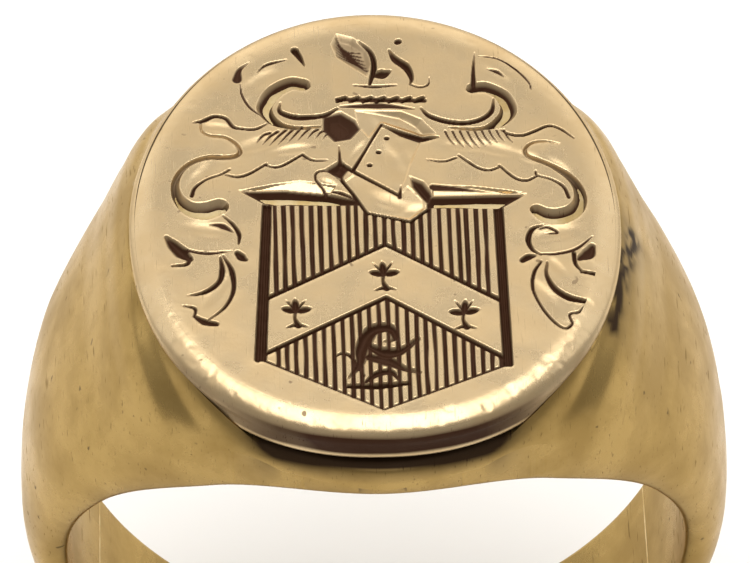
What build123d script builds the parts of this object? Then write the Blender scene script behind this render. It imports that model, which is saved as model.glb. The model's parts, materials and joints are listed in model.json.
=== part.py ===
from build123d import *
import math
import os

os.makedirs("parts", exist_ok=True)

# A seal ring: an oval engraved plate let into a solid head, whose shoulders run down into a D-section shank.
# Frame: the origin is the middle of the bore, Y runs along the finger, +Z goes up through the engraved table.

# Driving dimensions, in millimetres and degrees. Angles go round the finger from the top of the ring.
bore_radius = 9.5

table_half_width = 7.3
table_half_length = 8.4
table_thickness = 1.25
table_rim_round = 0.4

seat_wall = 1.55
seat_depth = 0.2
seat_clearance = 0.04
table_solder_thickness = 0.08
ledge = 0.25
shoulder_drop = 0.2

shoulder_top_half_width = 7.0
shoulder_half_width = 4.65
side_half_width = 3.05
seam_half_width = 2.7
back_half_width = 1.8

shoulder_wall = 2.7
lower_shoulder_wall = 2.15
upper_side_wall = 1.6
side_wall = 1.45
back_wall = 1.4
stretch_angle = 15.0

seam_angle = 115.0
seam_solder_thickness = 0.06

head_fullness = 9.0
band_fullness = 2.2

shield_half_width = 3.4
shield_top = 0.45
shield_side_length = 6.1
shield_point_length = 1.85
shield_ear = 0.7
shield_bar = 0.45
border_width = 0.2
chevron_half_width = 2.0
chevron_rise = 2.1
chevron_peak = -1.2
chevron_line_width = 0.13
hatch_pitch = 0.27
hatch_width = 0.11
engraving_depth = 0.2

# Heights and angles that follow from them.
seat_height = bore_radius + seat_wall
table_underside = seat_height + table_solder_thickness
table_top = table_underside + table_thickness
shoulder_top_height = table_top - shoulder_drop
edge_angle = math.degrees(math.atan2(table_half_width, shoulder_top_height))
edge_wall = math.hypot(table_half_width, shoulder_top_height) - bore_radius

# The wall over the bore, the half width along the finger and the fullness of the section, round the ring.
wall_round_ring = [
    (0, seat_wall + seat_depth),
    (edge_angle, edge_wall),
    (edge_angle + stretch_angle, shoulder_wall),
    (edge_angle + 2 * stretch_angle, lower_shoulder_wall),
    (edge_angle + 3 * stretch_angle, upper_side_wall),
    (edge_angle + 4 * stretch_angle, side_wall),
    (180, back_wall),
]
half_width_round_ring = [
    (0, table_half_length + ledge),
    (edge_angle, shoulder_top_half_width),
    (edge_angle + 2 * stretch_angle, shoulder_half_width),
    (edge_angle + 4 * stretch_angle, side_half_width),
    (seam_angle, seam_half_width),
    (180, back_half_width),
]
fullness_round_ring = [
    (0, head_fullness),
    (edge_angle, band_fullness),
    (180, band_fullness),
]


def through(knots, angle):
    """Height at an angle of the smooth curve through the knots, which never overshoots them."""
    steps = [b[0] - a[0] for a, b in zip(knots, knots[1:])]
    rates = [(b[1] - a[1]) / step for a, b, step in zip(knots, knots[1:], steps)]
    slopes = [0.0]
    for before, after in zip(rates, rates[1:]):
        turning = before * after <= 0
        slopes.append(0.0 if turning else 2 * before * after / (before + after))
    slopes.append(0.0)
    k = max(i for i in range(len(steps)) if knots[i][0] <= angle or i == 0)
    s = (angle - knots[k][0]) / steps[k]
    low, high = knots[k][1], knots[k + 1][1]
    return (
        low * (1 + 2 * s) * (1 - s) ** 2
        + high * s**2 * (3 - 2 * s)
        + steps[k] * (slopes[k] * s * (1 - s) ** 2 - slopes[k + 1] * s**2 * (1 - s))
    )


def section(angle):
    """D-shaped face across the band at an angle: a full crown over the bore, level with the shoulders' tops at most."""
    from_top = min(angle % 360, 360 - angle % 360)
    wall = through(wall_round_ring, from_top)
    if from_top < edge_angle:
        wall = min(wall, shoulder_top_height / math.cos(math.radians(from_top)) - bore_radius)
    half_width = through(half_width_round_ring, from_top)
    power = 2 / through(fullness_round_ring, from_top)
    foot = bore_radius - seat_wall / 2
    crown = []
    for step in range(1, 16):
        turn = math.pi * step / 16
        across = math.copysign(abs(math.cos(turn)) ** power, math.cos(turn))
        crown.append((half_width * across, bore_radius + wall * math.sin(turn) ** power))
    plane = Plane(origin=(0, 0, 0), x_dir=(0, 1, 0), z_dir=Vector(1, 0, 0).rotate(Axis.Y, angle))
    arch = Spline([(half_width, bore_radius), *crown, (-half_width, bore_radius)])
    feet = Polyline((-half_width, bore_radius), (-half_width, foot), (half_width, foot), (half_width, bore_radius))
    return plane * make_face(arch + feet)


def band(start, end, count):
    """Solid stretch of the ring between two angles, lofted through its sections and bored for the finger."""
    angles = [start + (end - start) * i / count for i in range(count + 1)]
    reach = 2 * (table_half_length + ledge)
    open_side = (start + end) / 2 + 180
    finger = Rot(Y=open_side - 90) * Rot(X=90) * Cylinder(bore_radius, 2 * reach)
    return loft([section(angle) for angle in angles]) - finger


def oval(grow, low, high):
    """Oval block between two heights, wider than the table by grow all round."""
    outline = Ellipse(table_half_width + grow, table_half_length + grow)
    return Pos(Z=low) * extrude(outline, high - low)


def stroke(points, width):
    """Flat outline of a line engraved through the points."""
    return trace(Polyline(*points), line_width=width)


def hatching():
    """Outline of the upright hatch lines in the shield, which stop at its border and skip the chevron."""
    lines = round(shield_half_width / hatch_pitch) - 1
    chevron_slope = chevron_rise / shield_half_width
    point_slope = shield_point_length / shield_half_width
    sketch = Sketch()
    for line in range(-lines, lines + 1):
        x = line * hatch_pitch
        peak = chevron_peak - chevron_slope * abs(x)
        foot = shield_top - shield_side_length - shield_point_length + point_slope * abs(x)
        sketch += stroke([(x, shield_top - shield_bar), (x, peak)], hatch_width)
        sketch += stroke([(x, peak - chevron_half_width), (x, foot)], hatch_width)
    return sketch


def arms():
    """Outline of everything cut into the table: the shield, its chevron and its hatching."""
    side_foot = shield_top - shield_side_length
    border = [
        (-shield_half_width, shield_top),
        (-shield_half_width, side_foot),
        (0, side_foot - shield_point_length),
        (shield_half_width, side_foot),
        (shield_half_width, shield_top),
    ]
    ear = shield_half_width + shield_ear
    bar = Polyline(
        (-ear, shield_top + shield_bar),
        (ear, shield_top + shield_bar),
        (shield_half_width, shield_top - shield_bar),
        (-shield_half_width, shield_top - shield_bar),
        close=True,
    )
    sketch = hatching() + make_face(bar) + stroke(border, border_width)
    for peak in (chevron_peak, chevron_peak - chevron_half_width):
        foot = peak - chevron_rise
        bend = [(-shield_half_width, foot), (0, peak), (shield_half_width, foot)]
        sketch += stroke(bend, chevron_line_width)
    return sketch


# The engraved plate: an oval with a rounded rim, its arms sunk into the flat.
plate = oval(0, table_underside, table_top)
plate = fillet(plate.edges().group_by(Axis.Z)[-1], table_rim_round)
seal_table = plate - Pos(Z=table_top) * extrude(arms(), -engraving_depth)

# The head with both shoulders: a stretch of the ring with a seat for the plate, which the solder fills.
head_blank = band(-seam_angle, seam_angle, 30)
seat = oval(seat_clearance, seat_height, table_top + shoulder_drop)
table_solder = (seat - oval(0, table_underside, table_top)) & head_blank

seam_cut = {}
for side, angle in (("left", -seam_angle), ("right", seam_angle)):
    tall = 4 * bore_radius
    thick = 2 * seam_solder_thickness
    seam_cut[side] = Rot(Y=angle) * Pos(Z=tall / 2) * Box(thick, tall, tall)

ring_head = head_blank - seat
for cut in seam_cut.values():
    ring_head -= cut

shank = band(seam_angle, 360 - seam_angle, 14)

export_step(seal_table, "parts/seal_table.step")
export_step(ring_head, "parts/ring_head.step")
export_step(shank, "parts/shank.step")
export_step(table_solder, "parts/table_solder.step")
for side, cut in seam_cut.items():
    export_step(head_blank & cut, f"parts/seam_solder_{side}.step")
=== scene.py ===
import json
import math

import bpy
import numpy as np
from mathutils import Matrix, Vector


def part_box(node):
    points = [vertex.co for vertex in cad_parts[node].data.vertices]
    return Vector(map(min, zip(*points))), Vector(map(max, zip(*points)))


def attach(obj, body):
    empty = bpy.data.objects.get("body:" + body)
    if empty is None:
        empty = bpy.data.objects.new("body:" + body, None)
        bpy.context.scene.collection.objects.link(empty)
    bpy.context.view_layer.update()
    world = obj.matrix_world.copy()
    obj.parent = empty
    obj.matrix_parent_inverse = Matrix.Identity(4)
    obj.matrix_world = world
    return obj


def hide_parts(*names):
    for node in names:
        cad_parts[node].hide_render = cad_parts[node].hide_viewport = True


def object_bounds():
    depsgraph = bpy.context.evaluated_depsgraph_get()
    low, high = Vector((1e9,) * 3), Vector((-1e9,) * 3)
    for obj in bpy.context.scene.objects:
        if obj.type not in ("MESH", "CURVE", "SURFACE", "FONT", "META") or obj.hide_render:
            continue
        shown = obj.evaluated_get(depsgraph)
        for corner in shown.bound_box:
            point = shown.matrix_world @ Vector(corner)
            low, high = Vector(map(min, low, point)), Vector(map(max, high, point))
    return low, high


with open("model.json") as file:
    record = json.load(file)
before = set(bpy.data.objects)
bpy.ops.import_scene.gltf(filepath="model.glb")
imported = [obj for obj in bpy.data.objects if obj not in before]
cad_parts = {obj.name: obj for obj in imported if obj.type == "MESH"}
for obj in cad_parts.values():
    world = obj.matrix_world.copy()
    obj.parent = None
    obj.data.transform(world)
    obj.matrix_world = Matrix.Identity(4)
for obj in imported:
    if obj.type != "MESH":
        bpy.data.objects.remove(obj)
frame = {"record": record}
cad_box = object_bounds()

# ----------------------------------------
# The seal plate: a thick oval of gold let into the head of the ring. Its flat is polished by hand, its rim is
# worn round and dented, and its lower edge turns in over the solder. One plate, cut here into a rim and four
# closed fields, so that each mesh stays light.

MM = 0.001
plate_low, plate_high = (np.array(corner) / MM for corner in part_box("seal_table"))
HALF_WIDTH, HALF_LENGTH = plate_high[0], plate_high[1]
PLATE_TOP, PLATE_UNDERSIDE = plate_high[2], plate_low[2]
NEAR_FULLNESS = 2.2
RIM_ROUND_WIDTH = 0.85
RIM_ROUND_DROP = 0.5
SIDE_REACH = 6.5
FAR_WIDENING = 0.5
SIDE_WIDENING = 0.4
FLUSH_SHARE = 0.38
FIELD_SHARE = 0.915
CELL = 0.03


def oval_radius(x, y):
    """How far out a point is, as a share of the plate's outline: 1 on the outline, 0 in the middle.

    The outline is an ellipse away from the wearer and a slightly squarer superellipse towards them."""
    power = np.where(y < 0, NEAR_FULLNESS, 2.0)
    return (np.abs(x / HALF_WIDTH) ** power + np.abs(y / HALF_LENGTH) ** power) ** (1 / power)


def outline(angle):
    """The x and y of the plate's outline at each angle of its curve."""
    power = np.where(np.sin(angle) < 0, NEAR_FULLNESS, 2.0)
    return (HALF_WIDTH * np.sign(np.cos(angle)) * np.abs(np.cos(angle)) ** (2 / power),
            HALF_LENGTH * np.sign(np.sin(angle)) * np.abs(np.sin(angle)) ** (2 / power))


def inset(x, y):
    """Distance in mm from a point in to the plate's outline: the missing share over the share's own slope."""
    step = 0.01
    share = oval_radius(x, y)
    slope = np.hypot(oval_radius(x + step, y) - share, oval_radius(x, y + step) - share) / step
    return (1 - share) / np.maximum(slope, 0.02)


def waves(x, y, z, size, seed):
    """Smooth unevenness between about -1 and 1: the mean of twelve plane waves of seeded direction and phase.

    Size is the length in mm of the waves."""
    rng = np.random.default_rng(seed)
    total = np.zeros(np.broadcast(x, y, z).shape)
    for _ in range(12):
        along = rng.normal(size=3)
        along *= 2 * math.pi / (size * rng.uniform(0.75, 1.5) * np.linalg.norm(along))
        total += np.sin(along[0] * x + along[1] * y + along[2] * z + rng.uniform(0, 2 * math.pi))
    return total / 4.5


def bare_top(x, y):
    """Height of the plate before it is engraved: a flat with faint hand-polished waves, rounded to its rim.

    The rounding is a quarter of a superellipse in the distance to the outline, wider at the far end and at
    the two sides. There the plate is flush with the shoulders, and it stops short of upright. Seeded dents
    break it towards the wearer."""
    side = np.clip(1 - np.abs(y) / SIDE_REACH, 0, 1)
    width = RIM_ROUND_WIDTH + FAR_WIDENING * np.clip(y / 4, 0, 1) + SIDE_WIDENING * side
    near = np.clip(inset(x, y) / width, 0, 1)
    flush = np.clip(1 - np.abs(y) / (FLUSH_SHARE * HALF_LENGTH), 0, 1) ** 1.3
    drop = RIM_ROUND_DROP * (1 - np.sqrt(1 - (1 - 0.07 * flush) * (1 - near) ** (2.4 - 0.5 * side)))
    where = np.exp(-(((near - 0.45) / 0.3) ** 2)) * (0.25 + 0.75 * np.clip(-y / 5, 0, 1)) * (1 - flush)
    dents = np.clip(waves(x, y, 0, 0.55, 11) - 0.3, 0, 1) * 0.022 + 0.002 * waves(x, y, 0, 0.22, 15)
    polish = 0.006 * waves(x, y, 0, 3.2, 12) + 0.0014 * waves(x, y, 0, 0.9, 13)
    return PLATE_TOP - 0.01 - drop - dents * where + polish * np.clip(near * 1.5, 0, 1)


# The engraving, cut with a burin: every cut is a groove with a sloped floor along a curve, and what is cut is
# kept as one map of depths over the flat. Sizes are mm, x across the finger, y away from the wearer.

field_x = np.arange(-HALF_WIDTH, HALF_WIDTH + CELL / 2, CELL)
field_y = np.arange(-HALF_LENGTH, HALF_LENGTH + CELL / 2, CELL)
map_x, map_y = np.meshgrid(field_x, field_y)
cut_depth = np.zeros(map_x.shape)
cut_dirt_and_shade = np.zeros(map_x.shape)
hand = np.random.default_rng(5)


def curve_through(points, pieces=12):
    """Points along a Catmull-Rom curve through the given ones, each span a cubic in its own parameter."""
    p = np.array(points, float)
    p = np.vstack([2 * p[0] - p[1], p, 2 * p[-1] - p[-2]])
    t = np.linspace(0, 1, pieces, endpoint=False)[:, None]
    spans = []
    for a, b, c, d in zip(p, p[1:], p[2:], p[3:]):
        spans.append(0.5 * (2 * b + (c - a) * t + (2 * a - 5 * b + 4 * c - d) * t**2
                            + (3 * b - a - 3 * c + d) * t**3))
    return np.vstack([*spans, p[-2:-1]])


def straight_through(points, pieces=10):
    """Points along the straight lines between the given ones, evenly spaced on each."""
    p = np.array(points, float)
    t = np.linspace(0, 1, pieces, endpoint=False)[:, None]
    return np.vstack([*(a + (b - a) * t for a, b in zip(p, p[1:])), p[-1:]])


def window(low, high):
    """The map's rows and columns between two corners."""
    cols = slice(*np.searchsorted(field_x, [low[0], high[0]]))
    return slice(*np.searchsorted(field_y, [low[1], high[1]])), cols


def cut(points, widths, depth, lean=0.0, curved=True, dark=1.0):
    """Sinks one burin stroke into the depth map, and lays dirt in it.

    Across the stroke the depth is a V with a blunt foot, whose deepest line is moved to one side by lean,
    from -1 to 1. Along it the width goes through the given widths, and the depth shrinks with the width.
    Dark is how much dirt has stayed in it, most where it is deepest."""
    line = curve_through(points) if curved else straight_through(points)
    steps = np.linalg.norm(np.diff(line, axis=0), axis=1)
    run = np.concatenate([[0], np.cumsum(steps)])
    half = np.interp(run / run[-1], np.linspace(0, 1, len(widths)), np.array(widths) / 2)
    reach = half.max() + CELL
    low, high = line.min(0) - reach, line.max(0) + reach
    rows, cols = window(low, high)
    x, y = map_x[rows, cols], map_y[rows, cols]
    deepest = np.zeros(x.shape)
    dirtiest = np.zeros(x.shape)
    widest = half.max()
    for (ax, ay), (bx, by), wa, wb, span in zip(line, line[1:], half, half[1:], steps):
        ux, uy = (bx - ax) / max(span, 1e-9), (by - ay) / max(span, 1e-9)
        along = np.clip((x - ax) * ux + (y - ay) * uy, 0, span)
        off_x, off_y = x - ax - ux * along, y - ay - uy * along
        width = wa + (wb - wa) * along / max(span, 1e-9)
        across = np.sign(ux * off_y - uy * off_x) * np.hypot(off_x, off_y) / np.maximum(width, 1e-4)
        rise = np.where(across < lean, (across + 1) / (1 + lean), (1 - across) / (1 - lean))
        rise = np.clip(rise, 0, 1)
        fine = (width / widest) ** 0.6
        deepest = np.maximum(deepest, depth * np.sin(rise * math.pi / 2) * fine)
        dirtiest = np.maximum(dirtiest, dark * np.clip(rise * (3.2 - 5 * widest), 0, 1) * fine)
    cut_depth[rows, cols] = np.maximum(cut_depth[rows, cols], deepest)
    cut_dirt_and_shade[rows, cols] = np.maximum(cut_dirt_and_shade[rows, cols], dirtiest)


def sink(patch, floor, slope=1.6, dark=0.0, fresh=False):
    """Sinks a closed patch, its floor a depth or a function of x and y, with walls that rise at the slope.

    Dark is how much dark colour lies in it: dirt, and on the helm also painted shade. A fresh patch clears
    what was cut there before."""
    p = np.array(patch, float)
    q = np.roll(p, -1, axis=0)
    low, high = p.min(0) - CELL, p.max(0) + CELL
    rows, cols = window(low, high)
    x, y = map_x[rows, cols], map_y[rows, cols]
    edge = np.full(x.shape, np.inf)
    crossings = np.zeros(x.shape, int)
    for (ax, ay), (bx, by) in zip(p, q):
        span = math.hypot(bx - ax, by - ay)
        ux, uy = (bx - ax) / span, (by - ay) / span
        along = np.clip((x - ax) * ux + (y - ay) * uy, 0, span)
        edge = np.minimum(edge, np.hypot(x - ax - ux * along, y - ay - uy * along))
        straddles = (ay > y) != (by > y)
        crossings += straddles & (x < (bx - ax) * (y - ay) / (by - ay if by != ay else 1) + ax)
    inside = crossings % 2 == 1
    depth = np.where(inside, np.minimum(floor(x, y) if callable(floor) else floor, edge * slope), 0)
    kept = 1 - inside * fresh
    cut_depth[rows, cols] = np.maximum(cut_depth[rows, cols] * kept, depth)
    cut_dirt_and_shade[rows, cols] = np.maximum(cut_dirt_and_shade[rows, cols] * kept, dark * inside * np.clip(edge / 0.12, 0, 1))


def scoop(x, y, bearing, length, width, depth):
    """A shallow clean hollow: a soft-edged bell over an ellipse, its long axis at the bearing in degrees."""
    turn = math.radians(bearing)
    along = (map_x - x) * math.cos(turn) + (map_y - y) * math.sin(turn)
    across = (map_y - y) * math.cos(turn) - (map_x - x) * math.sin(turn)
    cut_depth[:] += depth * np.exp(-(((along / length) ** 2 + (across / width) ** 2) * 2) ** 1.5)


# The shield hangs a little off the plate's middle. Its head is a deep wedge with ears, and its sides are
# double strokes that part towards the foot.
SHIELD_HEAD = 0.42
SHIELD_LEFT_TOP, SHIELD_LEFT_FOOT = (-3.2, SHIELD_HEAD), (-3.5, -5.5)
SHIELD_RIGHT_TOP, SHIELD_RIGHT_FOOT = (3.66, 0.15), (3.7, -5.9)
SHIELD_POINT = (0.05, -7.5)
CHEVRON_UPPER = [(-3.28, -3.2), (0.28, -1.2), (3.6, -3.45)]
CHEVRON_LOWER = [(-3.42, -5.35), (0.24, -3.25), (3.66, -5.68)]
HATCH_PITCH = 0.27


def on_line(x, points):
    """Height at x of the straight lines through the points."""
    return np.interp(x, [p[0] for p in points], [p[1] for p in points])


def hatch(x, top, foot, width, depth):
    """One upright hatch line: a V cut that wanders by a few hundredths of a mm under the hand."""
    if top - foot < 0.12:
        return
    count = max(3, int((top - foot) / 0.7))
    heights = np.linspace(top, foot, count)
    sway = hand.normal(0, 0.008, count)
    widths = width * hand.uniform(0.85, 1.12, count)
    cut(np.column_stack([x + sway, heights]), widths, depth * hand.uniform(0.85, 1.1))


left, right = SHIELD_LEFT_TOP[0] + 0.16, SHIELD_RIGHT_TOP[0] - 0.16
foot_line = [SHIELD_LEFT_FOOT, SHIELD_POINT, SHIELD_RIGHT_FOOT]
for column in range(-13, 15):
    x = column * HATCH_PITCH + hand.normal(0, 0.012)
    if left < x < right:
        hatch(x, SHIELD_HEAD - 0.06 * (x > 0), on_line(x, CHEVRON_UPPER), 0.155, 0.10)
    if left - 0.2 < x < right + 0.05:
        hatch(x, on_line(x, CHEVRON_LOWER), on_line(x, foot_line) + 0.04, 0.15, 0.095)

cut(CHEVRON_UPPER, [0.17, 0.15, 0.15, 0.18], 0.16, curved=False)
cut(CHEVRON_LOWER, [0.15, 0.16, 0.16, 0.18], 0.16, curved=False)
for shift, width in ((-0.05, 0.2), (0.07, 0.18)):
    for top, foot, drift, flare in ((SHIELD_LEFT_TOP, SHIELD_LEFT_FOOT, 1.3, 1.2),
                                    (SHIELD_RIGHT_TOP, SHIELD_RIGHT_FOOT, 1, 1)):
        cut([(top[0] + shift, top[1]), (foot[0] + shift * drift, foot[1])], [width, width * flare], 0.2,
            curved=False)
cut(foot_line, [0.08, 0.06, 0.08], 0.06, curved=False)
sink([(-4.08, 1.05), (-2.6, 1.04), (-1.3, 0.86), (-0.45, 0.62), (-0.3, 0.33), (-3.0, 0.4), (-3.34, 0.5)],
     0.34, 1.1, dark=1.0)
sink([(4.58, 0.68), (1.6, 0.7), (1.5, 0.18), (3.75, 0.1), (4.05, 0.3)], 0.34, 1.1, dark=1.0)
# A bright bevel leads down to each wedge from above.
sink([(-4.0, 1.02), (-2.6, 1.02), (-1.3, 0.84), (-1.1, 1.16), (-2.2, 1.36), (-3.0, 1.24)],
     lambda x, y: 0.03 + 0.3 * np.clip(1.3 - y, 0, 0.5), 2.5)
sink([(4.5, 0.7), (1.7, 0.7), (1.75, 1.1), (3.0, 1.0), (3.9, 0.84)],
     lambda x, y: 0.03 + 0.3 * np.clip(1.05 - y, 0, 0.5), 2.5)

# The shield's charges: a slipped trefoil three times on the chevron, and a leaf scroll on a bar in the base.


def leaf(x, y, bearing, length, width, depth):
    """One pointed leaf: a straight tapering cut from its stalk at the bearing, in degrees from +x."""
    tip = (x + length * math.cos(math.radians(bearing)), y + length * math.sin(math.radians(bearing)))
    cut([(x, y), tip], [width * 0.3, width, width * 0.85, width * 0.1], depth, curved=False)


def trefoil(x, y):
    """A slipped trefoil: three broad leaves, two thin shoots between them, a bent stalk and a foot."""
    for bearing, length in ((90, 0.5), (168, 0.46), (14, 0.48)):
        leaf(x, y, bearing + hand.normal(0, 4), length, 0.27, 0.15)
    for bearing in (52, 128):
        leaf(x, y + 0.06, bearing + hand.normal(0, 4), 0.5, 0.08, 0.11)
    cut([(x, y + 0.05), (x - 0.04, y - 0.25), (x + 0.06, y - 0.55)], [0.09, 0.1, 0.2], 0.15)
    cut([(x - 0.3, y - 0.62), (x, y - 0.52), (x + 0.34, y - 0.6)], [0.04, 0.15, 0.04], 0.12)


for centre in ((0.2, -2.36), (-2.42, -3.72), (2.5, -3.9)):
    trefoil(*centre)

base_scroll = [
    ([(-0.95, -6.3), (-0.6, -5.75), (-0.5, -5.1), (-0.2, -4.5), (0.3, -4.42), (0.42, -4.8), (0.1, -4.95)],
     [0.06, 0.2, 0.36, 0.4, 0.34, 0.24, 0.05], 0.22),
    ([(-0.3, -5.1), (0.1, -5.35), (0.6, -5.3), (1.12, -4.85)], [0.2, 0.38, 0.22, 0.14], 0.2),
    ([(-0.35, -5.5), (0.2, -5.65), (0.65, -5.95), (1.12, -6.12)], [0.25, 0.4, 0.2, 0.12], 0.18),
    ([(-0.5, -6.2), (-0.8, -5.55), (-1.1, -5.35), (-1.38, -5.52)], [0.08, 0.12, 0.1, 0.04], 0.12),
    ([(-0.45, -6.45), (-0.1, -6.15), (0.3, -6.1), (0.5, -6.4)], [0.1, 0.2, 0.2, 0.06], 0.13),
    ([(-0.95, -6.6), (-0.1, -6.62), (0.8, -6.52)], [0.14, 0.2, 0.12], 0.2),
]
for points, widths, depth in base_scroll:
    cut(points, 1.25 * np.array(widths), depth, lean=0.3)

# The helm, in profile and closed: flat facets set off by burin lines, a hollow behind it and three breaths.
# Painted shade as well as dirt: the dark laid in the hollow behind the helm, on its top band, on its shaded
# right side and in the drop beside it.
sink([(-1.5, 3.95), (-0.9, 4.12), (-0.45, 3.75), (-0.28, 3.4), (-0.62, 2.95), (-1.15, 2.85), (-1.5, 3.35)],
     lambda x, y: 0.22 + 0.1 * (x + 0.9), 0.7, dark=0.85)
sink([(-0.5, 4.15), (0.9, 4.08), (1.5, 3.75), (1.95, 3.12), (1.45, 3.02), (0.32, 3.62), (-0.1, 3.0),
      (-0.4, 3.5)],
     lambda x, y: 0.03 + 0.10 * np.clip(x + 0.3, 0, 1.6), 0.8, dark=0.12)
sink([(0.3, 3.45), (1.5, 2.9), (1.12, 1.9), (0.95, 1.3), (0.75, 0.8), (-0.55, 1.7)],
     lambda x, y: 0.012 + 0.07 * np.clip(x - 0.55, 0, 1), 0.8)
sink([(-0.9, 1.3), (-0.55, 1.6), (0.72, 0.72), (1.0, 1.1), (1.5, 0.55), (1.55, 0.2), (1.05, -0.28),
      (-0.2, 0.08)],
     lambda x, y: 0.02 + 0.05 * np.clip(x, 0, 2) * np.clip(0.9 - y, 0, 1), 0.6, fresh=True)
# Painted shade: the helm's dark right side, and the dark drop at its left.
sink([(1.05, 1.5), (1.5, 1.25), (1.78, 0.75), (1.66, 0.2), (1.42, 0.5), (1.1, 1.05)], 0.2, 0.9,
     dark=0.8)
sink([(-1.5, 1.78), (-0.95, 2.2), (-0.68, 1.8), (-0.95, 1.35)], 0.2, 0.9, dark=0.9)
helm_lines = [
    ([(0.32, 3.52), (0.9, 3.18), (1.5, 2.95), (2.0, 3.0)], [0.08, 0.22, 0.32, 0.06], 0.2),
    ([(0.3, 3.58), (-0.62, 1.7)], [0.1, 0.09, 0.13], 0.13),
    ([(-0.98, 2.02), (-0.62, 1.72), (0.74, 0.72)], [0.16, 0.13, 0.11], 0.15),
    ([(0.76, 0.66), (0.8, 1.12)], [0.14, 0.04], 0.12),
    ([(-1.0, 2.7), (-0.98, 2.0), (-0.95, 1.4)], [0.05, 0.12, 0.1], 0.1),
    ([(-0.95, 1.36), (-0.62, 0.8), (-0.24, 0.04), (1.05, -0.34), (1.62, 0.16)],
     [0.12, 0.13, 0.11, 0.12, 0.12], 0.16),
]
for points, widths, depth in helm_lines:
    cut(points, widths, depth, curved=False)
for x, y in ((0.44, 3.0), (0.18, 2.46), (-0.1, 1.94)):
    cut([(x - 0.02, y), (x + 0.02, y)], [0.15, 0.15], 0.12, curved=False)
helm_curves = [
    ([(-0.98, 1.36), (-1.35, 1.72), (-1.68, 1.68), (-1.72, 1.4), (-1.5, 1.05), (-1.42, 0.78)],
     [0.04, 0.07, 0.08, 0.08, 0.1, 0.14], 0.12),
    ([(-1.45, 0.95), (-1.0, 0.85), (-0.55, 0.6)], [0.06, 0.14, 0.05], 0.08),
    ([(1.75, 1.02), (2.6, 0.94), (3.5, 0.82)], [0.24, 0.14, 0.03], 0.07),
    ([(-0.9, 4.3), (0.4, 4.3), (1.3, 4.15)], [0.1, 0.26, 0.08], 0.06),
]
for points, widths, depth in helm_curves:
    cut(points, widths, depth)

# The wreath on the helm: a twisted roll, cut as slanting strokes over one shallow line.
cut([(-1.0, 4.6), (1.62, 4.48)], [0.16, 0.2, 0.16], 0.09, curved=False)
for twist in range(7):
    x = -0.88 + 0.39 * twist
    cut([(x - 0.13, 4.5 - 0.012 * twist), (x + 0.13, 4.68 - 0.012 * twist)], [0.1, 0.2, 0.12], 0.2,
        curved=False)

# The crest: a broad veined leaf and a slender curling one on a short stalk, with a berry.
sink([(-0.05, 5.45), (0.14, 6.05), (0.02, 6.65), (-0.45, 7.1), (-0.98, 7.32), (-1.16, 6.85), (-1.0, 6.3),
      (-0.5, 5.85)],
     0.13, 0.6, dark=0.35)
for vein in range(6):
    cut([(-0.05 - 0.04 * vein, 5.75 + 0.16 * vein), (-0.45 - 0.05 * vein, 6.15 + 0.1 * vein),
         (-0.98, 6.42 + 0.14 * vein)],
        [0.05, 0.1, 0.04], 0.2)
crest_curves = [
    ([(0.0, 5.2), (0.14, 5.9), (0.05, 6.5), (-0.3, 6.95)], [0.1, 0.2, 0.16, 0.05], 0.2),
    ([(0.1, 5.55), (0.42, 5.6), (0.62, 5.7)], [0.16, 0.4, 0.1], 0.2),
    ([(0.62, 6.55), (0.78, 6.2), (1.12, 5.85), (1.26, 5.4), (1.2, 5.15)],
     [0.08, 0.26, 0.3, 0.2, 0.05], 0.2),
    ([(1.2, 5.15), (1.5, 5.02), (1.75, 5.12), (1.8, 5.4)], [0.05, 0.07, 0.06, 0.03], 0.07),
    ([(-0.5, 5.15), (0.1, 5.08), (0.8, 5.12)], [0.05, 0.12, 0.05], 0.08),
    ([(0.88, 6.88), (0.92, 6.9)], [0.22, 0.22], 0.13),
]
for points, widths, depth in crest_curves:
    cut(points, widths, depth)

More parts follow.
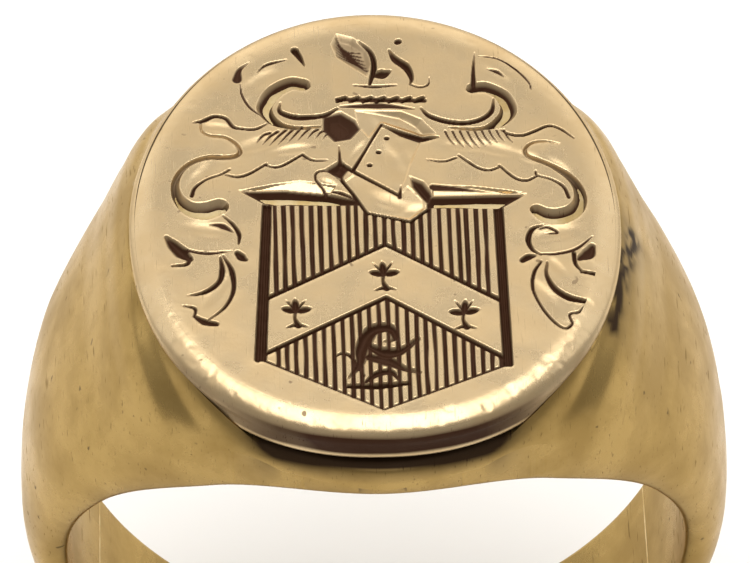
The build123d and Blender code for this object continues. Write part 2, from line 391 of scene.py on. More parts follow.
# The mantling: cloth that is cut into leaves and scrolls, on the left and the right of the helm. The bold
# hooks are deep one-sided cuts, the ribbons fine lines with a fan of short folds.
left_mantling = [
    ([(-2.02, 5.22), (-2.4, 5.28), (-2.9, 4.95), (-3.2, 4.4), (-3.08, 3.95), (-2.75, 3.62), (-2.2, 3.46),
      (-1.5, 3.5)], [0.42, 0.44, 0.46, 0.44, 0.3, 0.14, 0.1, 0.05], 0.26, 0.4),
    ([(-2.72, 4.5), (-2.74, 4.15), (-2.35, 3.92), (-1.9, 3.88), (-1.4, 3.96), (-1.0, 4.22)],
     [0.04, 0.16, 0.2, 0.18, 0.14, 0.08], 0.13, 0.2),
    ([(-2.24, 6.62), (-2.1, 6.35), (-1.95, 5.98)], [0.24, 0.16, 0.04], 0.16),
    ([(-3.4, 5.75), (-3.1, 6.05), (-2.5, 6.24)], [0.03, 0.1, 0.04], 0.07),
    ([(-4.0, 5.5), (-3.92, 5.9), (-3.62, 6.2)], [0.3, 0.16, 0.04], 0.09),
    ([(-3.92, 5.3), (-3.85, 4.8), (-3.6, 4.3), (-3.25, 3.95)], [0.04, 0.08, 0.08, 0.04], 0.04),
    ([(-5.34, 3.8), (-5.05, 3.84), (-4.72, 4.0), (-4.38, 3.92), (-4.15, 3.58), (-3.9, 3.49), (-3.5, 3.46),
      (-3.1, 3.68)], [0.05, 0.14, 0.12, 0.11, 0.1, 0.08, 0.09, 0.04], 0.1),
    ([(-5.12, 3.75), (-5.08, 3.42), (-4.85, 3.24), (-4.4, 3.16), (-4.08, 2.9), (-3.95, 2.6), (-4.08, 2.4),
      (-4.4, 2.34), (-4.9, 2.36), (-5.35, 2.2), (-5.72, 1.85), (-5.9, 1.35), (-5.82, 0.8), (-5.5, 0.38),
      (-5.05, 0.26), (-4.62, 0.42)],
     [0.05, 0.07, 0.09, 0.09, 0.11, 0.15, 0.16, 0.14, 0.14, 0.15, 0.2, 0.26, 0.34, 0.48, 0.6, 0.52],
     0.3, -0.45),
    ([(-5.42, 0.86), (-5.32, 1.18), (-5.0, 1.48), (-4.55, 1.68), (-4.28, 1.86)],
     [0.12, 0.1, 0.07, 0.06, 0.07], 0.09),
    ([(-4.4, 1.66), (-4.05, 1.57), (-3.7, 1.68), (-3.18, 2.06)], [0.05, 0.09, 0.08, 0.07], 0.08),
    ([(-3.2, 2.0), (-2.9, 1.92), (-2.6, 2.04), (-2.08, 2.42)], [0.05, 0.08, 0.08, 0.07], 0.08),
    ([(-2.08, 2.38), (-1.8, 2.17), (-1.35, 2.15)], [0.08, 0.07, 0.04], 0.07),
    ([(-4.5, 0.04), (-4.22, -0.3), (-4.04, -0.7), (-4.06, -1.08)], [0.05, 0.1, 0.12, 0.05], 0.12),
    ([(-4.9, -0.28), (-4.55, -0.35), (-4.2, -0.62)], [0.05, 0.2, 0.05], 0.05),
    ([(-6.1, -0.9), (-5.6, -1.26), (-5.0, -1.42), (-4.25, -1.34)], [0.04, 0.1, 0.12, 0.04], 0.04, 0.4),
    ([(-6.2, -0.74), (-6.0, -1.05), (-5.72, -1.4), (-5.5, -1.62)], [0.12, 0.34, 0.42, 0.2], 0.16, 0.2),
    ([(-5.5, -1.55), (-5.6, -1.82), (-6.02, -1.88)], [0.14, 0.1, 0.07], 0.12),
    ([(-4.1, -1.42), (-3.95, -1.62), (-3.85, -1.68)], [0.18, 0.26, 0.12], 0.13),
    ([(-4.6, -1.58), (-4.56, -2.1), (-4.68, -2.55), (-5.1, -2.92), (-5.6, -3.04)],
     [0.07, 0.17, 0.13, 0.13, 0.03], 0.13),
    ([(-4.52, -1.52), (-4.28, -2.1), (-4.24, -2.85), (-4.5, -3.5), (-4.98, -3.98)],
     [0.06, 0.16, 0.12, 0.09, 0.05], 0.12),
    ([(-5.4, -3.82), (-5.1, -4.05), (-4.76, -4.14)], [0.1, 0.22, 0.16], 0.1),
    ([(-5.72, -3.42), (-5.38, -3.54), (-5.4, -3.85)], [0.04, 0.1, 0.05], 0.1),
]
right_mantling = [
    ([(3.08, 4.95), (3.5, 4.98), (3.95, 4.66), (4.15, 4.15), (4.02, 3.75), (3.65, 3.42), (3.1, 3.28),
      (2.3, 3.36)], [0.34, 0.36, 0.42, 0.46, 0.36, 0.12, 0.09, 0.05], 0.26, -0.4),
    ([(1.5, 4.18), (1.75, 3.86), (2.25, 3.62), (2.8, 3.54), (3.3, 3.68), (3.62, 4.0), (3.7, 4.5)],
     [0.06, 0.16, 0.17, 0.16, 0.16, 0.14, 0.04], 0.13, -0.2),
    ([(3.12, 5.1), (3.14, 5.7), (3.2, 6.4)], [0.16, 0.1, 0.03], 0.1),
    ([(3.55, 5.72), (3.85, 5.6), (4.05, 5.4)], [0.03, 0.12, 0.04], 0.05),
    ([(3.3, 6.25), (3.9, 6.15), (4.4, 5.75), (4.78, 5.2), (4.85, 4.85)],
     [0.03, 0.07, 0.09, 0.08, 0.04], 0.04),
    ([(3.85, 3.25), (4.15, 3.05), (4.5, 3.0), (4.85, 3.14), (5.3, 3.36), (5.65, 3.25), (6.05, 2.9)],
     [0.04, 0.09, 0.09, 0.09, 0.08, 0.08, 0.05], 0.09),
    ([(5.6, 2.64), (5.2, 2.74), (4.8, 2.7), (4.56, 2.46), (4.62, 2.2), (4.95, 2.0), (5.4, 1.72),
      (5.8, 1.36), (6.06, 0.9), (6.1, 0.4), (5.9, -0.02), (5.5, -0.22), (5.1, -0.18), (4.8, 0.05)],
     [0.03, 0.06, 0.08, 0.1, 0.13, 0.15, 0.18, 0.22, 0.28, 0.36, 0.46, 0.54, 0.5, 0.34], 0.3, 0.45),
    ([(5.78, 0.5), (5.64, 0.92), (5.3, 1.22), (4.88, 1.4), (4.84, 1.56)],
     [0.1, 0.09, 0.07, 0.06, 0.06], 0.09),
    ([(4.86, 1.36), (4.55, 1.2), (4.2, 1.32), (3.76, 1.82)], [0.06, 0.09, 0.08, 0.06], 0.08),
    ([(3.74, 1.74), (3.45, 1.64), (3.1, 1.76), (2.56, 2.26)], [0.06, 0.08, 0.08, 0.05], 0.08),
    ([(2.5, 2.16), (2.1, 2.02), (1.6, 2.12)], [0.06, 0.07, 0.03], 0.07),
    ([(4.95, -0.58), (4.64, -0.72), (4.5, -1.1), (4.6, -1.5), (4.86, -1.74)],
     [0.05, 0.14, 0.16, 0.12, 0.04], 0.13),
    ([(4.85, -0.72), (5.1, -0.66), (5.38, -0.86), (5.0, -0.9)], [0.05, 0.08, 0.08, 0.03], 0.05),
    ([(4.75, -1.68), (5.3, -1.7), (5.9, -1.52), (6.4, -1.05)], [0.04, 0.1, 0.1, 0.04], 0.04, -0.4),
    ([(6.38, -1.42), (6.25, -1.7), (5.98, -1.88)], [0.2, 0.4, 0.2], 0.14, 0.2),
    ([(5.82, -1.68), (5.85, -2.1), (6.02, -2.4)], [0.12, 0.1, 0.06], 0.12),
    ([(6.02, -2.42), (6.45, -2.5)], [0.1, 0.13], 0.1),
    ([(4.3, -1.92), (4.48, -1.8), (4.66, -1.76)], [0.18, 0.22, 0.1], 0.12),
    ([(4.85, -1.98), (4.62, -2.4), (4.55, -3.0), (4.76, -3.7), (5.1, -4.3), (5.42, -4.58), (5.64, -4.4),
      (5.58, -4.06), (5.86, -3.96), (6.06, -3.72)],
     [0.06, 0.1, 0.09, 0.08, 0.08, 0.08, 0.07, 0.07, 0.07, 0.06], 0.09),
    ([(5.02, -2.02), (4.98, -2.5), (5.2, -3.05), (5.62, -3.42), (6.14, -3.56)],
     [0.06, 0.12, 0.18, 0.22, 0.14], 0.15),
]
for points, widths, depth, *lean in left_mantling + right_mantling:
    cut(points, 1.15 * np.array(widths), 1.15 * depth, *lean)
for fold in range(9):
    x = -3.05 + 0.24 * fold
    length = 0.42 + 0.1 * math.sin(0.7 * fold)
    cut([(x, 3.5 - 0.05 * abs(fold - 4)), (x - 0.5 * length, 3.5 - 0.7 * length),
         (x - length, 3.42 - 1.2 * length)],
        [0.1, 0.07, 0.03], 0.06)
    x = 2.2 + 0.22 * fold
    cut([(x, 3.22), (x + 0.28 * length, 3.2 - 0.7 * length), (x + 0.7 * length, 3.15 - 1.2 * length)],
        [0.08, 0.06, 0.03], 0.055)


# Soft hollows model the cloth between the lines, the helm's plates and the leaves.
for x, y, bearing, length, width, depth in (
        (-3.3, 2.9, 20, 1.2, 0.35, 0.025), (-4.6, 3.55, -10, 0.6, 0.25, 0.02),
        (-2.4, 2.6, 10, 0.8, 0.25, 0.0225), (-5.2, 1.6, 60, 0.8, 0.28, 0.025),
        (-5.0, -0.5, -15, 0.9, 0.35, 0.025), (-4.75, -2.9, 60, 0.8, 0.25, 0.025),
        (-3.3, 5.4, 40, 0.9, 0.35, 0.025), (-3.6, 4.6, 70, 0.6, 0.25, 0.02),
        (3.6, 2.5, -20, 1.1, 0.32, 0.025), (4.7, 2.1, -30, 0.5, 0.25, 0.025),
        (5.6, 1.6, -50, 0.8, 0.28, 0.025), (5.3, -0.9, 15, 0.9, 0.35, 0.025),
        (4.9, -3.3, -60, 0.9, 0.28, 0.025), (5.3, -2.2, -60, 0.5, 0.2, 0.02),
        (3.9, 5.3, -50, 0.9, 0.35, 0.025), (2.7, 2.6, -10, 0.7, 0.25, 0.02),
        (0.5, 2.2, -62, 0.9, 0.35, 0.02), (0.4, 0.5, -30, 0.8, 0.35, 0.025),
        (-0.4, 2.5, 60, 0.6, 0.2, 0.02), (1.15, 0.1, 30, 0.4, 0.25, 0.02), (-1.3, 1.2, -40, 0.4, 0.2, 0.025)):
    scoop(x, y, bearing, length, width, depth)


def spread(values, size):
    """The map blurred over the size in mm, by a bell-shaped weight along the rows and then the columns."""
    reach = int(3 * size / CELL)
    weights = np.exp(-0.5 * (np.arange(-reach, reach + 1) * CELL / size) ** 2)
    weights /= weights.sum()
    for axis in (0, 1):
        values = np.apply_along_axis(np.convolve, axis, values, weights, mode="same")
    return values


# The burin throws up a small lip beside each cut, and old dirt fills the bottom of the cuts. The same map of
# dark colour also holds the painted shade on the helm.
cut_depth *= 1 + 0.08 * waves(map_x, map_y, 0, 0.5, 21)
lip = 0.2 * spread(cut_depth, 0.05) * np.exp(-cut_depth / 0.015)
engraved_height = bare_top(map_x, map_y) - spread(cut_depth, 0.012) + lip
dirt_and_shade_map = np.clip(1.5 * spread(cut_dirt_and_shade, 0.014), 0, 1)


CREASE_DEGREES = 50


def put_mesh(name, points, faces, dirt, corner_normals=None):
    """A new object from points in mm, faces, and a share of dirt and painted shade at each point.

    It is shaded smooth, by the given normals or else with sharp edges past the crease angle."""
    mesh = bpy.data.meshes.new(name)
    mesh.from_pydata(points * MM, [], faces)
    share = np.asarray(dirt, np.float32).ravel()
    mesh.attributes.new("dirt", "FLOAT", "POINT").data.foreach_set("value", share)
    mesh.polygons.foreach_set("use_smooth", np.ones(len(mesh.polygons), bool))
    if corner_normals is None:
        mesh.set_sharp_from_angle(angle=math.radians(CREASE_DEGREES))
    else:
        mesh.normals_split_custom_set(corner_normals)
    piece = bpy.data.objects.new(name, mesh)
    bpy.context.scene.collection.objects.link(piece)
    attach(piece, "root")
    return piece


def field_limit(y):
    """Half the width of the engraved field at a height, where the rim piece begins."""
    power = np.where(y < 0, NEAR_FULLNESS, 2.0)
    share = np.clip(1 - np.abs(y / (HALF_LENGTH * FIELD_SHARE)) ** power, 0, 1)
    return HALF_WIDTH * FIELD_SHARE * share ** (1 / power)


slope_y, slope_x = np.gradient(engraved_height, CELL)


def field(name, cols, rows):
    """One closed field of the plate: a block of the map's columns and rows, as far as the rim.

    Its top is the height map on a square grid whose rows are cut off at the rim's curve. Walls go down
    from its border to the plate's underside, and a fan closes it below."""
    grid = np.ix_(rows, cols)
    limit = field_limit(map_y[grid])
    x = np.clip(map_x[grid], -limit, limit)
    y = np.clip(map_y[grid], -HALF_LENGTH * FIELD_SHARE, HALF_LENGTH * FIELD_SHARE)
    moved = (x != map_x[grid]) | (y != map_y[grid])
    z = np.where(moved, bare_top(x, y), engraved_height[grid])
    key = np.round(np.stack([x, y], -1).reshape(-1, 2) * 1e5).astype(np.int64)
    _, first, index = np.unique(key, axis=0, return_index=True, return_inverse=True)
    index = index.reshape(x.shape)
    top = np.stack([x, y, z], -1).reshape(-1, 3)[first]
    normal = np.stack([-slope_x[grid], -slope_y[grid], np.ones(x.shape)], -1).reshape(-1, 3)[first]
    dirt = dirt_and_shade_map[grid].reshape(-1)[first]
    a, b, c, d = index[:-1, :-1], index[:-1, 1:], index[1:, 1:], index[1:, :-1]
    corners = np.stack([a, b, c, d], -1).reshape(-1, 4)
    faces = []
    for quad in (corners[:, [0, 1, 2]], corners[:, [0, 2, 3]]):
        p, q, r = top[quad[:, 0]], top[quad[:, 1]], top[quad[:, 2]]
        area = (q[:, 0] - p[:, 0]) * (r[:, 1] - p[:, 1]) - (r[:, 0] - p[:, 0]) * (q[:, 1] - p[:, 1])
        faces.append(quad[area > 1e-9])
    faces = np.vstack(faces)
    edges = np.vstack([faces[:, [0, 1]], faces[:, [1, 2]], faces[:, [2, 0]]])
    count = len(top)
    border = edges[~np.isin(edges[:, 0] * count + edges[:, 1], edges[:, 1] * count + edges[:, 0])]
    ring = np.unique(border)
    lower = top[ring] * [1, 1, 0] + [0, 0, PLATE_UNDERSIDE + 0.02]
    points = np.vstack([top, lower, lower.mean(0, keepdims=True)])
    start, end = border.T
    start_low, end_low = (count + np.searchsorted(ring, side) for side in border.T)
    walls = np.column_stack([start, start_low, end_low, end])
    fan = np.column_stack([end_low, start_low, np.full(len(start), len(points) - 1)])
    outward = np.column_stack([top[end, 1] - top[start, 1], top[start, 0] - top[end, 0],
                               np.zeros(len(start))])
    corner_normals = np.vstack([normal[faces.ravel()], np.repeat(outward, 4, axis=0),
                                np.tile([0, 0, -1], (len(fan) * 3, 1))])
    corner_normals /= np.linalg.norm(corner_normals, axis=1, keepdims=True)
    all_dirt_and_shade = np.concatenate([dirt, np.zeros(len(lower) + 1)])
    return put_mesh(name, points, faces.tolist() + walls.tolist() + fan.tolist(), all_dirt_and_shade, corner_normals)


# The fields meet on the map's own columns and rows: between the shield and the mantling, and over the shield.
left_edge, right_edge = np.searchsorted(field_x, [-4.2, 4.7])
shield_top = np.searchsorted(field_y, 1.45)
all_rows = np.arange(len(field_y))
middle = np.arange(left_edge, right_edge + 1)
plate_pieces = [
    field("seal_plate_shield", middle, all_rows[:shield_top + 1]),
    field("seal_plate_crest", middle, all_rows[shield_top:]),
    field("seal_plate_left", np.arange(left_edge + 1), all_rows),
    field("seal_plate_right", np.arange(right_edge, len(field_x)), all_rows),
]

RIM_AROUND = 1200
RIM_ACROSS = 26
WALL_STEPS = 14
LOWER_EDGE = 0.16


def ring_faces(around, across):
    """Quads of a grid that joins up both ways, so that a section drawn outwards then down faces out."""
    i, j = np.meshgrid(np.arange(around), np.arange(across), indexing="ij")
    next_i, next_j = (i + 1) % around, (j + 1) % across
    corners = [i * across + j, i * across + next_j, next_i * across + next_j, next_i * across + j]
    return np.stack(corners, -1).reshape(-1, 4)


def plate_rim():
    """The plate outside its engraved fields: rounded rim, wall, turned-in lower edge and the way back inside.

    Around, the angle runs round the outline. Across, the outline is scaled from the fields' border out to the
    edge, then lowered down the wall and drawn in on a quarter circle at its foot. Painted shade darkens the
    two ends' walls, in a mottled band below the rounding and again under the foot."""
    angle = np.linspace(0, 2 * math.pi, RIM_AROUND, endpoint=False)
    edge_x, edge_y = outline(angle)
    share = FIELD_SHARE + (1 - FIELD_SHARE) * np.sin(np.linspace(0, math.pi / 2, RIM_ACROSS))
    x, y = edge_x[:, None] * share, edge_y[:, None] * share
    top = np.stack([x, y, bare_top(x, y)], -1)
    out = np.column_stack([edge_x / HALF_WIDTH**2, edge_y / HALF_LENGTH**2, np.zeros(RIM_AROUND)])
    out /= np.linalg.norm(out, axis=1, keepdims=True)
    edge = top[:, -1]
    fall = np.linspace(0, 1, WALL_STEPS)[1:]
    foot = PLATE_UNDERSIDE + LOWER_EDGE
    height = edge[:, 2:] + (foot - edge[:, 2:]) * fall
    dimple = 0.035 * waves(edge_x[:, None], edge_y[:, None], height * 1.6, 1.9, 14) - 0.03
    wall = np.repeat(edge[:, None], WALL_STEPS - 1, axis=1)
    wall[:, :, 2] = height
    wall += out[:, None] * (dimple * np.sin(math.pi * fall) - 0.03 * fall)[:, :, None]
    turn = np.linspace(0, math.pi / 2, 6)[1:]
    turned = np.repeat(wall[:, -1:], 5, axis=1)
    turned[:, :, 2] = PLATE_UNDERSIDE + LOWER_EDGE * (1 - np.sin(turn))
    turned -= out[:, None] * (LOWER_EDGE * (1 - np.cos(turn)))[None, :, None]
    inner = top[:, 0] * [1, 1, 0] + [0, 0, PLATE_UNDERSIDE]
    grid = np.concatenate([top, wall, turned, inner[:, None]], axis=1)
    down = PLATE_TOP - grid[:, :, 2]
    blotch = 0.97 + 0.14 * waves(grid[:, :, 0], grid[:, :, 1], grid[:, :, 2], 2.3, 16)
    # Painted shade: a mottled dark band down the wall below the rounding and on the turned-in foot, at both
    # ends, lighter towards the sides.
    below = np.clip((down - 0.2) / 0.16, 0, 1) * np.clip((1.06 - down) / 0.1, 0, 1) * blotch
    below += np.clip((down - 1.12) / 0.1, 0, 1)
    ends, sides = np.abs(grid[:, :, 1]), np.abs(grid[:, :, 0])
    below *= np.clip((ends - 3.5) / 2, 0, 1) * (1 - 0.55 * np.clip((sides - 3) / 1.8, 0, 1))
    return put_mesh("seal_plate_rim", grid.reshape(-1, 3), ring_faces(*grid.shape[:2]).tolist(), below)


plate_pieces.append(plate_rim())


def linear(code):
    """A colour's sRGB hex code as linear red, green, blue and an alpha of 1."""
    channels = [int(code[i:i + 2], 16) / 255 for i in (1, 3, 5)]
    return [c / 12.92 if c <= 0.04045 else ((c + 0.055) / 1.055) ** 2.4 for c in channels] + [1.0]


def add(tree, kind, inputs=None, **settings):
    """One more shader node: settings are its properties, inputs its sockets, each a value or an output."""
    made = tree.nodes.new("ShaderNode" + kind)
    for name, value in settings.items():
        setattr(made, name, value)
    for name, value in (inputs or {}).items():
        if isinstance(value, bpy.types.NodeSocket):
            tree.links.new(value, made.inputs[name])
        else:
            made.inputs[name].default_value = value
    return made


COLOUR_A, COLOUR_B, COLOUR_RESULT = 6, 7, 2
GRAIN_MM, SPECK_MM, BUMP_MM = 0.12, 0.35, 0.004
EDGE_TINT = "#FBF0DE"


def worn_gold(name, clean, aged, dirt, shine, satin, mottle_mm, scratch_mm):
    """Worn, hand-polished gold alloy: two tones in soft patches, scratches in two directions, dark dirt and
    painted shade.

    Clean and aged are the two tones, shine and satin the roughness of the two. Mottle is the size of the
    patches and scratch the spacing of the scratches, in mm. The piece's own attribute of dirt and painted
    shade says where the dark colour lies."""
    material = bpy.data.materials.new(name)
    material.use_nodes = True
    tree = material.node_tree
    tree.nodes.clear()
    where = add(tree, "TexCoord").outputs["Object"]
    patches = add(tree, "TexNoise", {"Vector": where, "Scale": 1 / (mottle_mm * MM), "Detail": 5.0,
                                     "Roughness": 0.6}).outputs["Fac"]
    patch = add(tree, "MapRange", {"Value": patches, "From Min": 0.38, "From Max": 0.62}).outputs["Result"]
    tone = add(tree, "Mix", {"Factor": patch, COLOUR_A: linear(clean), COLOUR_B: linear(aged)},
               data_type="RGBA").outputs[COLOUR_RESULT]
    marks = None
    for turn, seed in ((0.5, 3.0), (-0.9, 8.0)):
        turned = add(tree, "Mapping", {"Vector": where, "Rotation": (0.3, turn, turn * 1.7),
                                       "Location": (seed * MM, 0, 0),
                                       "Scale": (1.0, 0.045, 0.2)}).outputs[0]
        lines = add(tree, "TexNoise", {"Vector": turned, "Scale": 1 / (scratch_mm * MM), "Detail": 2.0,
                                       "Roughness": 0.7}).outputs["Fac"]
        line = add(tree, "MapRange", {"Value": lines, "From Min": 0.66, "From Max": 0.74}).outputs["Result"]
        marks = line if marks is None else add(tree, "Math", {0: marks, 1: line},
                                               operation="MAXIMUM").outputs[0]
    grain = add(tree, "TexNoise", {"Vector": where, "Scale": 1 / (GRAIN_MM * MM),
                                   "Detail": 3.0}).outputs["Fac"]
    specks = add(tree, "TexNoise", {"Vector": where, "Scale": 1 / (SPECK_MM * MM),
                                    "Detail": 1.0}).outputs["Fac"]
    speck = add(tree, "MapRange", {"Value": specks, "From Min": 0.74, "From Max": 0.8,
                                   "To Max": 0.6}).outputs["Result"]
    laid = add(tree, "Attribute", attribute_name="dirt").outputs["Fac"]
    scored = add(tree, "Math", {0: marks, 1: 0.3, 2: laid}, operation="MULTIPLY_ADD").outputs[0]
    grime_and_shade = add(tree, "Math", {0: scored, 1: speck}, operation="MAXIMUM", use_clamp=True).outputs[0]
    colour = add(tree, "Mix", {"Factor": grime_and_shade, COLOUR_A: tone, COLOUR_B: linear(dirt)},
                 data_type="RGBA").outputs[COLOUR_RESULT]
    gloss = add(tree, "MapRange", {"Value": patch, "To Min": shine, "To Max": satin}).outputs["Result"]
    scuffed = add(tree, "Math", {0: marks, 1: 0.18, 2: gloss}, operation="MULTIPLY_ADD").outputs[0]
    rough = add(tree, "Math", {0: grime_and_shade, 1: 0.35, 2: scuffed}, operation="MULTIPLY_ADD",
                use_clamp=True).outputs[0]
    metal = add(tree, "MapRange", {"Value": grime_and_shade, "To Min": 1.0, "To Max": 0.25}).outputs["Result"]
    relief = add(tree, "Math", {0: marks, 1: -0.5, 2: grain}, operation="MULTIPLY_ADD").outputs[0]
    bump = add(tree, "Bump", {"Height": relief, "Distance": BUMP_MM * MM, "Strength": 0.6}).outputs[0]
    shader = add(tree, "BsdfPrincipled", {"Base Color": colour, "Metallic": metal, "Roughness": rough,
                                          "Specular Tint": linear(EDGE_TINT), "Specular IOR Level": 0.2,
                                          "Normal": bump})
    add(tree, "OutputMaterial", {"Surface": shader.outputs[0]})
    return material


# The plate is a slightly rosy 18 carat gold, worn to a satin, and old dirt and wax stay dark in its cuts. The
# same dark colour paints shade on its rim wall and on the helm.
plate_gold = worn_gold("rosy_gold_hand_polished", "#CCB58F", "#C3AA82", "#3A2010", 0.25, 0.33, 1.6, 0.05)
for piece in plate_pieces:
    piece.data.materials.append(plate_gold)
    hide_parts("seal_table")

# ----------------------------------------
# The head with both shoulders: solid yellow gold, forged and filed to shape, with a seat cut in its top for
# the plate. Its sides are worn smooth, and painted shade darkens the crease under the plate's near and far
# rims.

BORE = [m["dims"]["r_mm"] for m in frame["record"]["mounts"] if m["name"] == "finger_bore"][0]
SEAM_ANGLE = 115.0
EDGE_ANGLE = math.degrees(math.atan2(HALF_WIDTH, PLATE_TOP - 0.2))
# Angles from the top of the ring, with the wall over the bore, the half width and the fullness at each.
WALL_KNOTS = [(0, 1.66), (16, 2.3), (24, 3.75), (29, 4.75), (34, 4.2), (38, 3.62), (46, 2.8), (61, 2.1),
              (76, 1.6), (91, 1.45), (180, 1.4)]
WIDTH_KNOTS = [(0, 8.65), (EDGE_ANGLE, 7.0), (61, 4.65), (91, 3.05), (115, 2.7), (180, 1.8)]
NEAR_FULLNESS_KNOTS = [(0, 9.0), (EDGE_ANGLE, 2.45), (48, 2.3), (180, 2.2)]
FAR_FULLNESS_KNOTS = [(0, 9.0), (EDGE_ANGLE, 2.07), (48, 2.05), (75, 2.2), (180, 2.2)]
EDGE_KNOTS = [(0, 0.6), (40, 0.4), (91, 0.25), (180, 0.2)]
KNEE_ROUND = 0.35
SEAT_DROP = 0.1
SEAT_OVERLAP = 0.04
GUTTER_DEPTH = 0.06
GUTTER_REACH = 4.2
FLANK_SLOPE = 1.3
FLANK_BEND = 3.0
FLANK_SOFTNESS = 0.07
FLANK_REACH = 5.8


def smooth_through(knots, at):
    """Heights of the smooth curve through the knots, cubic between two and flat at a turning point."""
    t, v = np.array(knots, float).T
    step = np.diff(t)
    rate = np.diff(v) / step
    inner = np.where(rate[1:] * rate[:-1] > 0, 2 * rate[1:] * rate[:-1] / (rate[1:] + rate[:-1] + 1e-12), 0)
    slope = np.concatenate([[0], inner, [0]])
    k = np.clip(np.searchsorted(t, at, side="right") - 1, 0, len(step) - 1)
    s = (at - t[k]) / step[k]
    return (v[k] * (1 + 2 * s) * (1 - s) ** 2 + v[k + 1] * s**2 * (3 - 2 * s)
            + step[k] * (slope[k] * s * (1 - s) ** 2 - slope[k + 1] * s**2 * (1 - s)))


def crown(y, width, fullness):
    """Height of the section as a share of the wall, at a distance y from the middle: a superellipse."""
    return (1 - np.minimum(np.abs(y / width), 1) ** fullness) ** (1 / fullness)


def outline_place(turned, wall, width, fullness, edge, power):
    """How far from the ring's middle plane the section at each angle passes under the plate's outline.

    The outline's y depends on x, and x on the section's own height there, so the place is found by going back
    and forth between the two. Past the plate it stays a quarter of the width out."""
    y = 0.9 * width
    for _ in range(40):
        x = (BORE + edge + (wall - edge) * crown(y, width, fullness)) * np.sin(turned)
        share = np.minimum(np.abs(x) / HALF_WIDTH, 1)
        under = HALF_LENGTH * (1 - share**power) ** (1 / power) * (np.cos(turned) > 0)
        y = 0.5 * y + 0.5 * np.clip(under, 0.25 * width, 0.985 * width)
    return y


def band(angles, steps=30, proud=0.0):
    """Points of the ring's skin at each angle round the finger, in a closed section drawn from one bore edge.

    The section is half a superellipse over the bore, two small quarter circles at its foot, and the flat bore
    wall. Its points gather where it passes under the plate's outline. Proud lifts the skin off the metal."""
    turned = np.radians(angles)[:, None]
    from_top = np.abs((angles + 180) % 360 - 180)
    wall, width = smooth_through(WALL_KNOTS, from_top), smooth_through(WIDTH_KNOTS, from_top)
    level = (PLATE_TOP - 0.12) / np.cos(np.radians(np.minimum(from_top, 70))) - BORE
    wall = -KNEE_ROUND * np.log(np.exp(-wall / KNEE_ROUND) + np.exp(-level / KNEE_ROUND))
    edge = smooth_through(EDGE_KNOTS, from_top)
    near_fullness = smooth_through(NEAR_FULLNESS_KNOTS, from_top)
    far_fullness = smooth_through(FAR_FULLNESS_KNOTS, from_top)
    wall, width, edge, near_fullness, far_fullness = (
        v[:, None] for v in (wall, width + proud, edge, near_fullness, far_fullness))
    near = outline_place(turned, wall, width, near_fullness, edge, NEAR_FULLNESS)
    far = outline_place(turned, wall, width, far_fullness, edge, 2.0)
    outer = []
    for y, fullness in ((near, near_fullness), (far, far_fullness)):
        end = np.arctan2(crown(y, width, fullness), y / width)
        sweep = end * np.linspace(0, 1, steps)
        reach = (np.cos(sweep) ** fullness + np.sin(sweep) ** fullness) ** (-1 / fullness)
        outer.append(width * np.cos(sweep) * reach)
    close = np.array([0.03, 0.07, 0.12, 0.18, 0.26])
    low, high = close[-1] - near, far - close[-1]
    between = low + (high - low) * np.linspace(0, 1, 22)[1:-1]
    crown_y = np.concatenate([-outer[0], close - near, between, far - close[::-1], outer[1][:, ::-1]], axis=1)
    fullness = np.where(crown_y < 0, near_fullness, far_fullness)
    crown_r = edge + (wall + proud - edge) * crown(crown_y, width, fullness)
    foot = np.linspace(0, math.pi / 2, 9)[1:]
    foot_y, foot_r = width - edge * (1 - np.cos(foot)), edge * (1 - np.sin(foot)) - proud
    flat_y = (width - edge) * np.linspace(1, -1, 12)[1:-1]
    y = np.concatenate([crown_y, foot_y, flat_y, -foot_y[:, ::-1]], axis=1)
    r = BORE + np.concatenate([crown_r, foot_r, 0 * flat_y - proud, foot_r[:, ::-1]], axis=1)
    return np.stack([r * np.sin(turned), y, r * np.cos(turned)], -1)


def seated(skin):
    """The skin with the plate's seat sunk in it, a slight gutter before it, and faint hand-filed waves.

    Towards the sides the metal was burnished up to the plate's rim: there the skin is the higher of itself
    and a flank that falls away from the rim, joined softly."""
    x, y, z = np.moveaxis(skin, -1, 0)
    depth_in = inset(x, y)
    radius = np.linalg.norm(skin[:, :, [0, 2]], axis=-1)
    top = (z > 9) * (radius > BORE + 0.45)
    lumps = 0.014 * waves(x, y, z, 4.5, 31) + 0.004 * waves(x, y, z, 1.4, 32) - 0.016
    lumps *= np.clip((radius - BORE - 0.25) / 0.5, 0, 1) * ((depth_in < 0) | (z < 9))
    normal = skin * [1, 0.4, 1]
    normal /= np.linalg.norm(normal, axis=-1, keepdims=True)
    skin = skin + normal * lumps[:, :, None]
    middle = np.clip(1 - (x / GUTTER_REACH) ** 2, 0, 1)
    gutter = GUTTER_DEPTH * middle * np.exp(-((np.minimum(depth_in, 0) / 0.13) ** 2))
    share = np.maximum(oval_radius(x, y), 0.5)
    out = -np.minimum(depth_in, 0)
    burnished = bare_top(x / share, y / share) - 0.03 - FLANK_SLOPE * out - FLANK_BEND * out**2
    burnished -= 0.9 * np.clip((FLANK_REACH - np.abs(x)) / 2.2, 0, 1.3) ** 1.5
    gap = np.clip((burnished - skin[:, :, 2]) / FLANK_SOFTNESS, -30, 30)
    height = skin[:, :, 2] + top * (FLANK_SOFTNESS * np.logaddexp(0, gap) - gutter)
    seat = np.minimum(PLATE_UNDERSIDE - SEAT_DROP, height)
    past = depth_in - SEAT_OVERLAP
    skin[:, :, 2] = np.where(top & (past > 0), np.maximum(height - 4 * past, seat), height)
    return skin


STREAK_FOOT = (6.85, -3.9)
STREAK_RUN = (0.85, 3.8)


